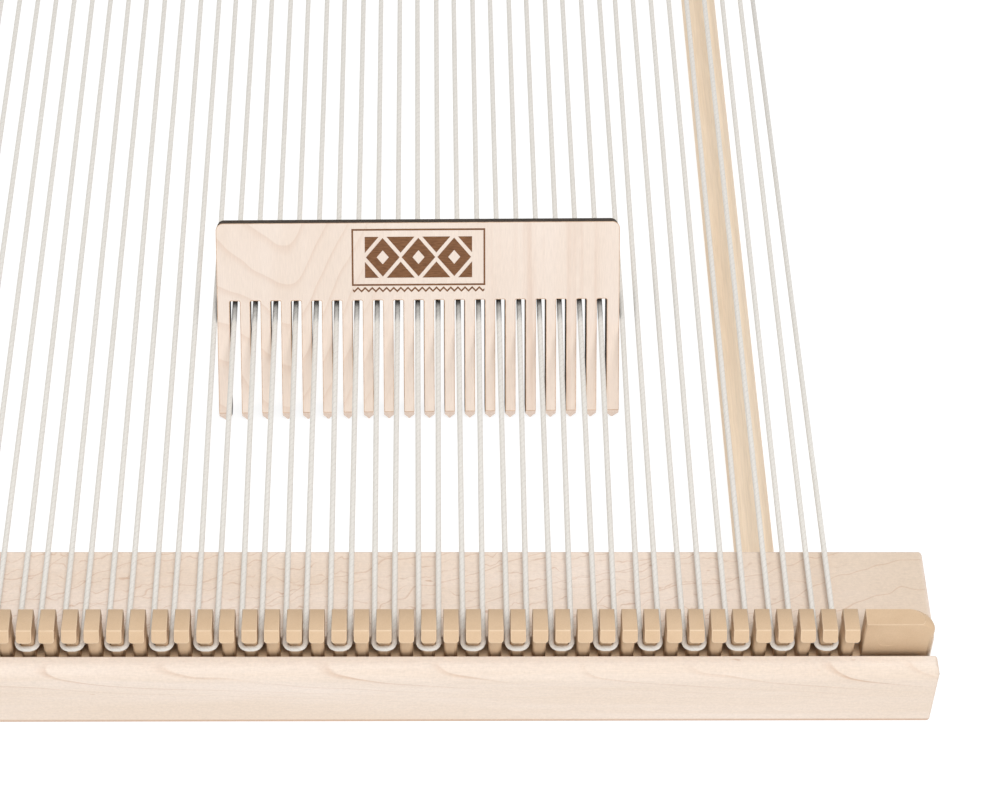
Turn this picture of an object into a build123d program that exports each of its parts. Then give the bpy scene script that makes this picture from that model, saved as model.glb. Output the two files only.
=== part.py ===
"""Tapestry frame loom with a warp and a beater comb, in millimetres.

X runs along the beams, Y along the warp from the front beam to the back beam,
Z is up and Z = 0 is the surface the loom rests on.
"""
import math
import os

from build123d import *

os.makedirs("parts", exist_ok=True)

# driving dimensions
tooth_pitch = 5.08            # five teeth to the inch
tooth_count = 71
half_row = (tooth_count - 1) / 2 * tooth_pitch

beam_length = 397.5
beam_width = 36.0
beam_thickness = 19.05
beam_edge_radius = 0.8
front_edge_radius = 3.6
end_edge_radius = 0.7
loom_length = 457.2           # outside face to outside face
lip_width = 5.1               # wood left outside the groove
groove_width = 5.5
groove_depth = 9.5
groove_wall_y = loom_length / 2 - lip_width - groove_width

rack_top = 10.3               # height of the teeth above the beam
neck_depth = 4.74
neck_width = 3.1
neck_corner = 0.9
head_width = 3.5
head_reach = 6.1              # flat top of a tooth, back to front
lip_reach = 8.0               # furthest point of the hook
lip_height = 8.0
hook_under = 7.5
spine_top = -3.0
block_inner = 3.5             # end block, from the centre of the last tooth
block_outer = 19.5
block_depth = 4.6
block_inside_radius = 3.4
block_outside_radius = 2.0
block_top_radius = 2.4          # top of the block, at its outer end

rail_diameter = 9.525
rail_offset = 38.7            # centre of a rail from the end of a beam
rail_depth_in_beam = 18.0
rail_z = beam_thickness / 2

thread_r = 0.65
warp_height = beam_thickness + 2.65
strand_offset = 2.28          # strand from the centre of the tooth it loops
loop_corner = 1.6
tie_corner = 0.9
spread_bend = 150.0           # gentle bend of a strand where the comb spreads it
beside_comb = 0.15            # strand to the comb's end edge
loop_gap = 0.03
knot_r = 1.4

comb_width = 101.6
comb_height = 50.8
comb_thickness = 6.35
comb_pitch = 5.15
comb_slots = 19
slot_width = 2.6
slot_depth = 31.1
comb_corner = 1.8
slot_corner = 0.35
tip_bevel = 2.3               # length of the bevel on both faces of a tip
tip_land = 0.8                # thickness left at the point
tip_point = 1.5               # height of the point seen from the front
comb_tilt = 53.0              # slope of the comb where it leans
comb_turn = 0.8               # its right end stands a little further back
comb_warp_y = -120.65         # where its front face meets the warp
rest_gap = 0.1
comb_x = half_row - 19.5 * tooth_pitch + 0.35
strand_lean = 0.29            # strands lie this far left of the middle of a slot

# places shared by several pieces
inner_face_y = loom_length / 2 - beam_width
rail_x = beam_length / 2 - rail_offset


# ---------------------------------------------------------------- beams
# Flat bar with a rounded outer top edge, a groove run from end to end for the
# rack and a blind hole for each side rail. The back beam is the same bar.
with BuildPart() as front_beam:
    with BuildSketch(Plane.YZ.offset(-beam_length / 2)) as bar_profile:
        with Locations((-loom_length / 2 + beam_width / 2, beam_thickness / 2)):
            Rectangle(beam_width, beam_thickness)
        outer_top = bar_profile.vertices().group_by(Axis.X)[0].sort_by(Axis.Y)[-1]
        fillet(outer_top, radius=front_edge_radius)
        inner_corners = bar_profile.vertices().group_by(Axis.X)[-1]
        fillet(inner_corners, radius=beam_edge_radius)
        outer_bottom = bar_profile.vertices().group_by(Axis.Y)[0].sort_by(Axis.X)[0]
        fillet(outer_bottom, radius=beam_edge_radius)
    extrude(amount=beam_length)
    ends = front_beam.faces().filter_by(Plane.YZ)
    fillet(ends.edges(), radius=end_edge_radius)
    with Locations((0, -groove_wall_y - groove_width / 2, beam_thickness)):
        Box(beam_length + 10, groove_width, 2 * groove_depth, mode=Mode.SUBTRACT)
    for side in (-1, 1):
        with Locations(Pos(side * rail_x, -inner_face_y, rail_z) * Rot(90, 0, 0)):
            Cylinder(
                rail_diameter / 2,
                rail_depth_in_beam,
                align=(Align.CENTER, Align.CENTER, Align.MIN),
                mode=Mode.SUBTRACT,
            )
front_beam.part.label = "front_beam"
export_step(front_beam.part, "parts/front_beam.step")

with BuildPart() as back_beam:
    add(front_beam.part.rotate(Axis.Z, 180))
back_beam.part.label = "back_beam"
export_step(back_beam.part, "parts/back_beam.step")


# ---------------------------------------------------------------- tooth racks
# One plastic moulding in two nodes. The rack is the spine down in the groove
# and the solid block past the last tooth at each end; its hooked teeth, which
# lean out over the outer edge, are a node of their own, one solid each.
wall = -groove_wall_y
with BuildPart() as tooth:
    with BuildSketch(Plane.YZ.offset(-neck_width / 2)):
        with BuildLine():
            Polyline(
                (wall, beam_thickness + spine_top),
                (wall, beam_thickness + hook_under + 1),
                (wall - neck_depth, beam_thickness + hook_under + 1),
                (wall - neck_depth, beam_thickness + spine_top),
                close=True,
            )
        make_face()
    extrude(amount=neck_width)
    fillet(tooth.edges().filter_by(Axis.Z).sort_by(Axis.Y)[:2], radius=neck_corner)
    with BuildSketch(Plane.YZ.offset(-head_width / 2)):
        with BuildLine():
            Polyline(
                (wall, beam_thickness + hook_under - 0.3),
                (wall, beam_thickness + rack_top),
                (wall - head_reach, beam_thickness + rack_top),
                (wall - lip_reach, beam_thickness + lip_height),
                (wall - lip_reach + 0.5, beam_thickness + hook_under),
                (wall - neck_depth, beam_thickness + hook_under - 0.3),
                close=True,
            )
        make_face()
    extrude(amount=head_width)
    lower_lip = tooth.edges().filter_by(Axis.X).group_by(Axis.Y)[1]
    fillet(lower_lip, radius=0.35)

with BuildPart() as front_tooth_rack:
    with Locations((0, wall - groove_width / 2, beam_thickness - groove_depth)):
        Box(
            2 * (half_row + block_outer),
            groove_width,
            groove_depth + spine_top,
            align=(Align.CENTER, Align.CENTER, Align.MIN),
        )
    for side in (-1, 1):
        with BuildSketch(Plane.XY.offset(beam_thickness + spine_top)) as block_plan:
            with BuildLine():
                block_line = Polyline(
                    (side * (half_row + block_inner), wall),
                    (side * (half_row + block_outer), wall),
                    (side * (half_row + block_outer), wall - block_depth),
                    (side * (half_row + block_inner), wall - block_depth),
                    close=True,
                )
            make_face()
            outer_corners = block_plan.vertices().sort_by(Axis.X, reverse=side > 0)[:2].sort_by(Axis.Y)
            fillet(outer_corners[1], radius=block_inside_radius)
            fillet(outer_corners[0], radius=block_outside_radius)
        extrude(amount=rack_top - spine_top)
        hub_x = side * (half_row + block_outer - block_top_radius)
        hub_z = beam_thickness + rack_top - block_top_radius
        with BuildPart(mode=Mode.PRIVATE) as top_rounding:
            with Locations((hub_x + side * 2, wall - block_depth / 2, hub_z + 2)):
                Box(4, 3 * block_depth, 4)
            with Locations(Pos(hub_x, wall - block_depth / 2, hub_z) * Rot(90, 0, 0)):
                Cylinder(block_top_radius, 4 * block_depth, mode=Mode.SUBTRACT)
        add(top_rounding.part, mode=Mode.SUBTRACT)
front_tooth_rack.part.label = "front_tooth_rack"
export_step(front_tooth_rack.part, "parts/front_tooth_rack.step")

with BuildPart() as front_rack_teeth:
    with GridLocations(tooth_pitch, 0, tooth_count, 1):
        add(tooth.part)
front_rack_teeth.part.label = "front_rack_teeth"
export_step(front_rack_teeth.part, "parts/front_rack_teeth.step")

with BuildPart() as back_rack_teeth:
    add(front_rack_teeth.part.rotate(Axis.Z, 180))
back_rack_teeth.part.label = "back_rack_teeth"
export_step(back_rack_teeth.part, "parts/back_rack_teeth.step")

with BuildPart() as back_tooth_rack:
    add(front_tooth_rack.part.rotate(Axis.Z, 180))
back_tooth_rack.part.label = "back_tooth_rack"
export_step(back_tooth_rack.part, "parts/back_tooth_rack.step")


# ---------------------------------------------------------------- side rails
# Dowel from beam to beam, glued into a blind hole in each.
rail_length = 2 * (inner_face_y + rail_depth_in_beam)
with BuildPart() as right_side_rail:
    with Locations(Pos(rail_x, 0, rail_z) * Rot(90, 0, 0)):
        Cylinder(rail_diameter / 2, rail_length)
    chamfer(right_side_rail.edges(), length=0.5)
right_side_rail.part.label = "right_side_rail"
export_step(right_side_rail.part, "parts/right_side_rail.step")

with BuildPart() as left_side_rail:
    add(right_side_rail.part.rotate(Axis.Z, 180))
left_side_rail.part.label = "left_side_rail"
export_step(left_side_rail.part, "parts/left_side_rail.step")


# ---------------------------------------------------------------- warp
# One cotton thread. It is tied to the second tooth of the back rack, loops
# every even tooth in front and every odd tooth behind, and is tied to the last
# tooth but one at its other end. The comb spreads the strands it stands in.
loop_y = groove_wall_y + neck_depth + thread_r + loop_gap
comb_bend_y = comb_warp_y + comb_thickness / 2 / math.sin(math.radians(comb_tilt))
tied_x = half_row - tooth_pitch
tie_y = groove_wall_y - 0.78
knot_y = tie_y - 0.85
tie_height = warp_height - 2 * thread_r - 0.1

route = [(tied_x, knot_y - 0.1)]
corner_radii = []
for strand in range(1, tooth_count):
    if 10 <= strand <= 30:
        spread_x = comb_x - strand_lean - (strand - 20) * comb_pitch
        if strand == 10:
            spread_x = comb_x + comb_width / 2 + thread_r + beside_comb
        if strand == 30:
            spread_x = comb_x - comb_width / 2 - thread_r - beside_comb
        route.append((spread_x, comb_bend_y))
        corner_radii.append(spread_bend)
    if strand == tooth_count - 1:
        break
    loop_side = -1 if strand % 2 == 1 else 1
    looped_x = half_row - strand * tooth_pitch
    route.append((looped_x + strand_offset, loop_side * loop_y))
    route.append((looped_x - strand_offset, loop_side * loop_y))
    corner_radii += [loop_corner, loop_corner]
route.append((-tied_x, knot_y - 0.1))

with BuildPart() as warp_thread:
    with BuildLine(Plane.XY.offset(warp_height)) as warp_route:
        FilletPolyline(*route, radius=corner_radii)
    with BuildSketch(Plane(origin=warp_route.line @ 0, z_dir=warp_route.line % 0)):
        Circle(thread_r)
    sweep(path=warp_route.line)
    for side in (-1, 1):
        tie_x = side * tied_x
        with BuildLine(Plane.XY.offset(tie_height)) as tie_route:
            FilletPolyline(
                (tie_x + strand_offset, tie_y),
                (tie_x + strand_offset, loop_y),
                (tie_x - strand_offset, loop_y),
                (tie_x - strand_offset, tie_y),
                radius=tie_corner,
                close=True,
            )
        with BuildSketch(Plane(origin=tie_route.line @ 0, z_dir=tie_route.line % 0)):
            Circle(thread_r)
        sweep(path=tie_route.line)
        with Locations((tie_x, knot_y, (warp_height + tie_height) / 2)):
            Sphere(knot_r)
warp_thread.part.label = "warp_thread"
export_step(warp_thread.part, "parts/warp_thread.step")


# ---------------------------------------------------------------- beater comb
# Laser-cut maple comb standing in the warp, leaning back on the threads, its
# teeth down between them and their bevelled tips just off the table.
slots_width = (comb_slots - 1) * comb_pitch + slot_width
end_tooth = (comb_width - slots_width) / 2
tilt = math.radians(comb_tilt)
slot_root_z = warp_height + thread_r + rest_gap
comb_base_z = slot_root_z + comb_thickness * math.cos(tilt) - slot_depth * math.sin(tilt)
lean_run = (warp_height - comb_base_z) / math.tan(tilt)
comb_base_x = comb_x + lean_run * math.sin(math.radians(comb_turn))
comb_base_y = comb_warp_y - lean_run * math.cos(math.radians(comb_turn))
comb_place = Pos(comb_base_x, comb_base_y, comb_base_z) * Rot(0, 0, comb_turn) * Rot(comb_tilt, 0, 0)

with BuildPart() as flat_comb:
    with BuildSketch() as outline:
        with Locations((0, comb_height / 2)):
            Rectangle(comb_width, comb_height)
        fillet(outline.vertices().group_by(Axis.Y)[-1], radius=comb_corner)
        with Locations((0, slot_depth / 2)):
            with GridLocations(comb_pitch, 0, comb_slots, 1):
                Rectangle(slot_width, slot_depth, mode=Mode.SUBTRACT)
        fillet(outline.vertices().group_by(Axis.Y)[1], radius=slot_corner)
    extrude(amount=-comb_thickness)
    # points of the teeth, seen from the front
    with BuildSketch() as between_points:
        with GridLocations(comb_pitch, 0, comb_slots, 1):
            with BuildLine():
                Polyline(
                    (-comb_pitch / 2, 0),
                    (-slot_width / 2 - 0.01, tip_point),
                    (slot_width / 2 + 0.01, tip_point),
                    (comb_pitch / 2, 0),
                    close=True,
                )
            make_face()
        for side in (-1, 1):
            with BuildLine():
                Polyline(
                    (side * comb_width / 2, 0),
                    (side * comb_width / 2, tip_point),
                    (side * (comb_width / 2 - end_tooth / 2), 0),
                    close=True,
                )
            make_face()
    extrude(amount=-comb_thickness, mode=Mode.SUBTRACT)
    # bevel on both faces of every tip
    with BuildSketch(Plane.YZ.offset(-comb_width)) as bevels:
        with BuildLine():
            Polyline(
                (0, 0),
                (tip_bevel, 0),
                (0, -(comb_thickness - tip_land) / 2),
                close=True,
            )
        make_face()
        with BuildLine():
            Polyline(
                (0, -comb_thickness),
                (tip_bevel, -comb_thickness),
                (0, -(comb_thickness + tip_land) / 2),
                close=True,
            )
        make_face()
    extrude(amount=2 * comb_width, mode=Mode.SUBTRACT)

with BuildPart() as beater_comb:
    add(comb_place * flat_comb.part)
beater_comb.part.label = "beater_comb"
export_step(beater_comb.part, "parts/beater_comb.step")
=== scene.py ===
import math

import bmesh
import bpy
from mathutils import Matrix, Vector


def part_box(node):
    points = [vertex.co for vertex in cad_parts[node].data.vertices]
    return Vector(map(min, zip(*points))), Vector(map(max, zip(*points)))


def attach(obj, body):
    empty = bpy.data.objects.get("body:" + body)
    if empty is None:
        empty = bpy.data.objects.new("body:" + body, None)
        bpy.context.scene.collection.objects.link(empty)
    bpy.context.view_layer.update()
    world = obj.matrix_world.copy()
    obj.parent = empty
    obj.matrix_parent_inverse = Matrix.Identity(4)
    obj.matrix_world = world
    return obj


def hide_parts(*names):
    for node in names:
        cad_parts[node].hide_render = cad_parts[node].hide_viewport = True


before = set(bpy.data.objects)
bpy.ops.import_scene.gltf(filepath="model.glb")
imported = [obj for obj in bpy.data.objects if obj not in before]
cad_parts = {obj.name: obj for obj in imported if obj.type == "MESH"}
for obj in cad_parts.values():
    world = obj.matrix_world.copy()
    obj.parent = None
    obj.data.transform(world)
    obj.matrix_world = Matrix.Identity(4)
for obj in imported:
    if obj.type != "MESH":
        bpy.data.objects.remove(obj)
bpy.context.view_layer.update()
mm = 0.001

# ---------------------------------------------------------------- the beams
# Two flat bars of planed hard maple, 3/4 in thick. Each has a groove run from
# end to end near its outer edge for the rack; the long edges are eased and the
# outer top edge is rolled over. The back beam is the same bar turned round.
beam_low, beam_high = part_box("front_beam")
beam_half = beam_high.x
beam_top = beam_high.z
beam_front = beam_low.y
beam_back = beam_high.y
groove_front = beam_front + 5.1 * mm
groove_back = groove_front + 5.5 * mm
groove_floor = beam_top - 9.5 * mm
roll_over = 3.6 * mm
eased = 0.8 * mm


def finish_piece(name, bm, body, materials, cad_nodes=(), smooth=True):
    """Make the mesh an object that rides on a body and stands for its CAD nodes."""
    mesh = bpy.data.meshes.new(name)
    bm.to_mesh(mesh)
    bm.free()
    for material in materials:
        mesh.materials.append(material)
    for face in mesh.polygons:
        face.use_smooth = smooth
    piece = bpy.data.objects.new(name, mesh)
    bpy.context.scene.collection.objects.link(piece)
    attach(piece, body)
    if cad_nodes:
        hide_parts(*cad_nodes)
    return piece


def ease_edges(piece, width, segments):
    """Round each edge by its own weight, with shading that stays flat on the flats."""
    bevel = piece.modifiers.new("edges", "BEVEL")
    bevel.width = width
    bevel.segments = segments
    bevel.limit_method = "WEIGHT"
    bevel.harden_normals = True


def start_finish(name):
    """A new material, its node tree and its shader."""
    material = bpy.data.materials.new(name)
    material.use_nodes = True
    tree = material.node_tree
    shader = tree.nodes["Principled BSDF"]
    return material, tree, shader


def join(tree, source, target):
    """Feed a socket from another socket, or set it to a plain value."""
    if isinstance(source, bpy.types.NodeSocket):
        tree.links.new(source, target)
    else:
        target.default_value = source


def sum_up(tree, operation, a, b=0.0, c=0.0):
    node = tree.nodes.new("ShaderNodeMath")
    node.operation = operation
    for source, target in zip((a, b, c), node.inputs):
        join(tree, source, target)
    return node.outputs[0]


def clouds(tree, vector, scale, detail=3.0, roughness=0.5, distortion=0.0):
    node = tree.nodes.new("ShaderNodeTexNoise")
    node.inputs["Scale"].default_value = scale
    node.inputs["Detail"].default_value = detail
    node.inputs["Roughness"].default_value = roughness
    node.inputs["Distortion"].default_value = distortion
    tree.links.new(vector, node.inputs["Vector"])
    return node.outputs["Fac"]


def steps(tree, value, stops):
    """A ramp of (place, grey) stops."""
    node = tree.nodes.new("ShaderNodeValToRGB")
    ramp = node.color_ramp
    while len(ramp.elements) < len(stops):
        ramp.elements.new(0.5)
    for element, (place, grey) in zip(ramp.elements, stops):
        element.position = place
        element.color = (grey, grey, grey, 1)
    tree.links.new(value, node.inputs[0])
    return node.outputs[0]


def blend_colours(tree, amount, first, second, kind="MIX"):
    node = tree.nodes.new("ShaderNodeMix")
    node.data_type = "RGBA"
    node.blend_type = kind
    join(tree, amount, node.inputs[0])
    for source, target in ((first, node.inputs[6]), (second, node.inputs[7])):
        if isinstance(source, bpy.types.NodeSocket):
            tree.links.new(source, target)
        else:
            target.default_value = (*source, 1)
    return node.outputs[2]


def stretched(tree, vector, scale):
    node = tree.nodes.new("ShaderNodeMapping")
    node.inputs["Scale"].default_value = scale
    tree.links.new(vector, node.inputs["Vector"])
    return node.outputs[0]


def relief(tree, shader, heights):
    """Stack bumps of (height, distance in metres, strength) on the shader."""
    normal = None
    for height, distance, strength in heights:
        bump = tree.nodes.new("ShaderNodeBump")
        bump.inputs["Distance"].default_value = distance
        bump.inputs["Strength"].default_value = strength
        tree.links.new(height, bump.inputs["Height"])
        if normal is not None:
            tree.links.new(normal, bump.inputs["Normal"])
        normal = bump.outputs[0]
    tree.links.new(normal, shader.inputs["Normal"])


def planed_maple(name, pale, lip_painted_light, warm, deep, line):
    """Maple with its grain along X: fine curly figure across the flat, arcs and
    long streaks on the edge, and rings on the ends."""
    material, tree, shader = start_finish(name)
    place = tree.nodes.new("ShaderNodeTexCoord")
    where = place.outputs["Object"]
    facing = tree.nodes.new("ShaderNodeSeparateXYZ")
    tree.links.new(place.outputs["Normal"], facing.inputs[0])
    on_top = sum_up(tree, "POWER", sum_up(tree, "ABSOLUTE", facing.outputs[2]), 4.0)
    on_end = sum_up(tree, "POWER", sum_up(tree, "ABSOLUTE", facing.outputs[0]), 3.0)
    on_edge = sum_up(tree, "ABSOLUTE", facing.outputs[1])
    xyz = tree.nodes.new("ShaderNodeSeparateXYZ")
    tree.links.new(where, xyz.inputs[0])
    x, y, z = xyz.outputs

    # broad drifts of tone along the board
    drift = clouds(tree, stretched(tree, where, (9, 60, 70)), 1.0, 4, 0.55, 0.6)
    colour = blend_colours(tree, steps(tree, drift, ((0.34, 0), (0.66, 1))), pale, warm)
    toward_end = sum_up(tree, "MULTIPLY_ADD", sum_up(tree, "ABSOLUTE", x), 16.0, -2.1)
    toward_end.node.use_clamp = True
    toward_end = sum_up(tree, "MULTIPLY", toward_end, sum_up(tree, "MULTIPLY", on_top, 0.7))
    colour = blend_colours(tree, toward_end, colour, deep)
    inside_lip = sum_up(tree, "LESS_THAN", sum_up(tree, "ABSOLUTE", y), -groove_back)
    # painted light: the lip top in front of the groove is lightened to lift the shade the rack throws on it
    painted_light_on_lip = sum_up(tree, "MULTIPLY", sum_up(tree, "SUBTRACT", 1.0, inside_lip), on_top)
    colour = blend_colours(tree, sum_up(tree, "MULTIPLY", painted_light_on_lip, 0.9), colour, lip_painted_light)

    # curly figure: wavy lines a few millimetres apart, slanting and breaking off
    wander = clouds(tree, stretched(tree, where, (190, 110, 40)), 1.0, 2, 0.5, 0.2)
    slant = sum_up(tree, "MULTIPLY_ADD", x, -48.0, sum_up(tree, "MULTIPLY", y, 300.0))
    curl = sum_up(tree, "FRACT", sum_up(tree, "MULTIPLY_ADD", wander, 2.3, slant))
    curl = steps(tree, curl, ((0.0, 0), (0.40, 0.0), (0.5, 1), (0.54, 0.12), (0.70, 0)))
    broken = clouds(tree, stretched(tree, where, (170, 300, 60)), 1.0, 3, 0.6)
    broken = steps(tree, broken, ((0.43, 0.05), (0.62, 1)))
    clear_end = sum_up(tree, "MULTIPLY_ADD", sum_up(tree, "ABSOLUTE", x), -28.0, 5.2)
    clear_end.node.use_clamp = True
    curl = sum_up(tree, "MULTIPLY", sum_up(tree, "MULTIPLY", curl, broken), clear_end)

    # a few long growth lines sweep across the last inch or so of the board
    sweep = clouds(tree, stretched(tree, where, (28, 30, 40)), 1.0, 3, 0.55, 0.4)
    sweep = sum_up(tree, "MULTIPLY_ADD", sweep, 2.6,
                   sum_up(tree, "MULTIPLY_ADD", x, 34.0, sum_up(tree, "MULTIPLY", y, -95.0)))
    sweep = sum_up(tree, "FRACT", sweep)
    sweep = steps(tree, sweep, ((0.0, 0), (0.47, 0), (0.5, 1), (0.515, 0.0), (1.0, 0)))
    lines = sum_up(tree, "MAXIMUM", curl, sum_up(tree, "MULTIPLY", sweep, 0.8))
    lines = sum_up(tree, "MULTIPLY", lines, sum_up(tree, "MULTIPLY", on_top, inside_lip))
    colour = blend_colours(tree, sum_up(tree, "MULTIPLY", lines, 0.50), colour, line)

    # edges: arcs that start at the top corner and flatten out along the board
    down = sum_up(tree, "SUBTRACT", beam_top + 0.5 * mm, z)
    stir = clouds(tree, stretched(tree, where, (22, 20, 60)), 1.0, 2, 0.5)
    arcs = sum_up(tree, "MULTIPLY_ADD", sum_up(tree, "MULTIPLY", down, down), -30000.0,
                  sum_up(tree, "MULTIPLY_ADD", stir, 1.6, sum_up(tree, "MULTIPLY", x, 33.0)))
    arcs = sum_up(tree, "FRACT", arcs)
    arcs = steps(tree, arcs, ((0.0, 0), (0.40, 0.1), (0.5, 1), (0.53, 0), (1.0, 0)))
    fading = sum_up(tree, "MULTIPLY_ADD", down, -95.0, 1.15)
    fading.node.use_clamp = True
    patchy = clouds(tree, stretched(tree, where, (26, 40, 60)), 1.0, 2, 0.5)
    patchy = steps(tree, patchy, ((0.42, 0.15), (0.62, 1)))
    arcs = sum_up(tree, "MULTIPLY", arcs, fading)
    arcs = sum_up(tree, "MULTIPLY", arcs, sum_up(tree, "MULTIPLY", on_edge, patchy))
    colour = blend_colours(tree, sum_up(tree, "MULTIPLY", arcs, 0.75), colour, line)
    run = clouds(tree, stretched(tree, where, (7, 200, 330)), 1.0, 4, 0.6, 0.3)
    run = steps(tree, run, ((0.47, 0), (0.60, 1), (0.74, 0.2)))
    run = sum_up(tree, "MULTIPLY", run, sum_up(tree, "MULTIPLY", on_edge, 0.6))
    colour = blend_colours(tree, run, colour, warm)

    # painted shade: the bottom corners are painted a shade darker where they face down
    painted_bottom_shade = sum_up(tree, "MULTIPLY_ADD", z, -1300.0, 1.9)
    painted_bottom_shade.node.use_clamp = True
    colour = blend_colours(tree, sum_up(tree, "MULTIPLY", painted_bottom_shade, 0.8), colour, line)

    # small mineral flecks, and the fibre seen close to
    fleck = clouds(tree, stretched(tree, where, (130, 420, 420)), 1.0, 2, 0.5)
    fleck = steps(tree, fleck, ((0.0, 0), (0.715, 0), (0.76, 1)))
    colour = blend_colours(tree, sum_up(tree, "MULTIPLY", fleck, 0.5), colour, line)
    fibre = clouds(tree, stretched(tree, where, (420, 4200, 4200)), 1.0, 3, 0.6)
    mottle = clouds(tree, where, 1500, 3, 0.65)
    colour = blend_colours(tree, 0.13, colour, steps(tree, fibre, ((0.3, 0.35), (0.7, 1.0))), "MULTIPLY")
    colour = blend_colours(tree, 0.10, colour, steps(tree, mottle, ((0.35, 0.3), (0.65, 1.0))), "MULTIPLY")

    # ends: rings round a pith below the board
    off_y = sum_up(tree, "ADD", y, 0.215)
    off_z = sum_up(tree, "ADD", z, 0.055)
    far = sum_up(tree, "SQRT", sum_up(tree, "MULTIPLY_ADD", off_y, off_y,
                                       sum_up(tree, "MULTIPLY", off_z, off_z)))
    rings = sum_up(tree, "FRACT", sum_up(tree, "MULTIPLY_ADD", drift, 0.9,
                                         sum_up(tree, "MULTIPLY", far, 420.0)))
    rings = steps(tree, rings, ((0.0, 0.75), (0.7, 0.45), (0.94, 0.0), (1.0, 0.75)))
    end_colour = blend_colours(tree, rings, line, warm)
    colour = blend_colours(tree, sum_up(tree, "MULTIPLY", on_end, 0.55), colour, end_colour)
    tree.links.new(colour, shader.inputs["Base Color"])

    shader.inputs["Specular IOR Level"].default_value = 0.3
    sheen = sum_up(tree, "MULTIPLY_ADD", fibre, 0.16, 0.50)
    tree.links.new(sheen, shader.inputs["Roughness"])
    relief(tree, shader, ((fibre, 0.00003, 0.35), (lines, 0.00002, -0.2)))
    return material


beam_maple = planed_maple(
    "planed_maple",
    pale=(0.905, 0.785, 0.695),
    # painted light: the lighter colour of the lip top
    lip_painted_light=(0.945, 0.835, 0.740),
    warm=(0.840, 0.700, 0.580),
    deep=(0.730, 0.580, 0.440),
    line=(0.540, 0.300, 0.165),
)


def make_beam(name, turn):
    bm = bmesh.new()
    outline = (
        (beam_front, 0.0),
        (beam_back, 0.0),
        (beam_back, beam_top),
        (groove_back, beam_top),
        (groove_back, groove_floor),
        (groove_front, groove_floor),
        (groove_front, beam_top),
        (beam_front, beam_top),
    )
    end = bm.faces.new([bm.verts.new((-beam_half, y, z)) for y, z in outline])
    pulled = bmesh.ops.extrude_face_region(bm, geom=[end])
    far_verts = [v for v in pulled["geom"] if isinstance(v, bmesh.types.BMVert)]
    bmesh.ops.translate(bm, verts=far_verts, vec=(2 * beam_half, 0, 0))
    weight = bm.edges.layers.float.new("bevel_weight_edge")
    for edge in bm.edges:
        a, b = (v.co for v in edge.verts)
        along = abs(a.x - b.x) > 1e-6
        outside = a.y < beam_front + 1e-6 and b.y < beam_front + 1e-6
        in_groove = all(groove_front - 1e-6 < p.y < groove_back + 1e-6 for p in (a, b))
        if along and outside and a.z > 0.01:
            edge[weight] = 1.0
        elif in_groove:
            edge[weight] = 0.12
        elif not along and min(a.z, b.z) > groove_floor and abs(a.z - b.z) < 1e-6:
            edge[weight] = 0.35
        else:
            edge[weight] = eased / roll_over
    bmesh.ops.recalc_face_normals(bm, faces=bm.faces)
    if turn:
        bmesh.ops.rotate(bm, verts=bm.verts, cent=(0, 0, 0), matrix=Matrix.Rotation(math.pi, 3, "Z"))
    piece = finish_piece(name, bm, "loom", [beam_maple], [name.replace("_bar", "_beam")])
    ease_edges(piece, roll_over, 4)


make_beam("front_bar", turn=False)
make_beam("back_bar", turn=True)


# ---------------------------------------------------------------- tooth racks
# A tan plastic moulding pressed into each groove: a row of hooked teeth that
# lean out over the edge, a spine down in the groove, and a solid block past
# the last tooth at each end with the round mark an ejector pin leaves.
pitch = 5.08 * mm
teeth = 71
half_row = (teeth - 1) / 2 * pitch
rack_height = 10.3 * mm
neck_depth = 4.74 * mm
neck_width = 3.1 * mm
head_width = 3.5 * mm
block_inner = half_row + 3.5 * mm
block_outer = half_row + 19.5 * mm
mark_x = half_row + 8.7 * mm
block_depth = 4.6 * mm
block_roll = 3.2 * mm
spine_top = beam_top - 3 * mm
block_inside_corner = 3.4 * mm
block_outside_corner = 2.0 * mm
roll_levels = 6
hook_reach = 6.1 * mm
lip_reach = 8.0 * mm
lip_height = 8.0 * mm

rack_plastic, tree, shader = start_finish("tan_moulded_plastic")
place = tree.nodes.new("ShaderNodeTexCoord").outputs["Object"]
mottle = clouds(tree, place, 160, 4, 0.6)
mottled = steps(tree, mottle, ((0.3, 0), (0.7, 1)))
tint = blend_colours(tree, mottled, (0.708, 0.512, 0.336), (0.660, 0.468, 0.298))
speck = clouds(tree, place, 5200, 2, 0.5)
tint = blend_colours(tree, 0.12, tint, steps(tree, speck, ((0.35, 0.5), (0.65, 1))), "MULTIPLY")
tree.links.new(tint, shader.inputs["Base Color"])
tree.links.new(sum_up(tree, "MULTIPLY_ADD", mottle, 0.14, 0.50), shader.inputs["Roughness"])
shader.inputs["Specular IOR Level"].default_value = 0.3
relief(tree, shader, ((speck, 0.000015, 0.5), (mottle, 0.00004, 0.25)))


# painted highlight: a lighter plastic for the rounded edges of the racks, standing in for the light they
# catch
painted_highlight_plastic, tree, shader = start_finish("painted_highlight_plastic_edge")
place = tree.nodes.new("ShaderNodeTexCoord").outputs["Object"]
edge_highlight_noise = clouds(tree, place, 420, 3, 0.6)
edge_highlight_patches = steps(tree, edge_highlight_noise, ((0.3, 0), (0.7, 1)))
tint = blend_colours(tree, edge_highlight_patches, (0.770, 0.590, 0.412), (0.720, 0.532, 0.356))
tree.links.new(tint, shader.inputs["Base Color"])
tree.links.new(sum_up(tree, "MULTIPLY_ADD", edge_highlight_noise, 0.10, 0.48), shader.inputs["Roughness"])
shader.inputs["Specular IOR Level"].default_value = 0.3


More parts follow.
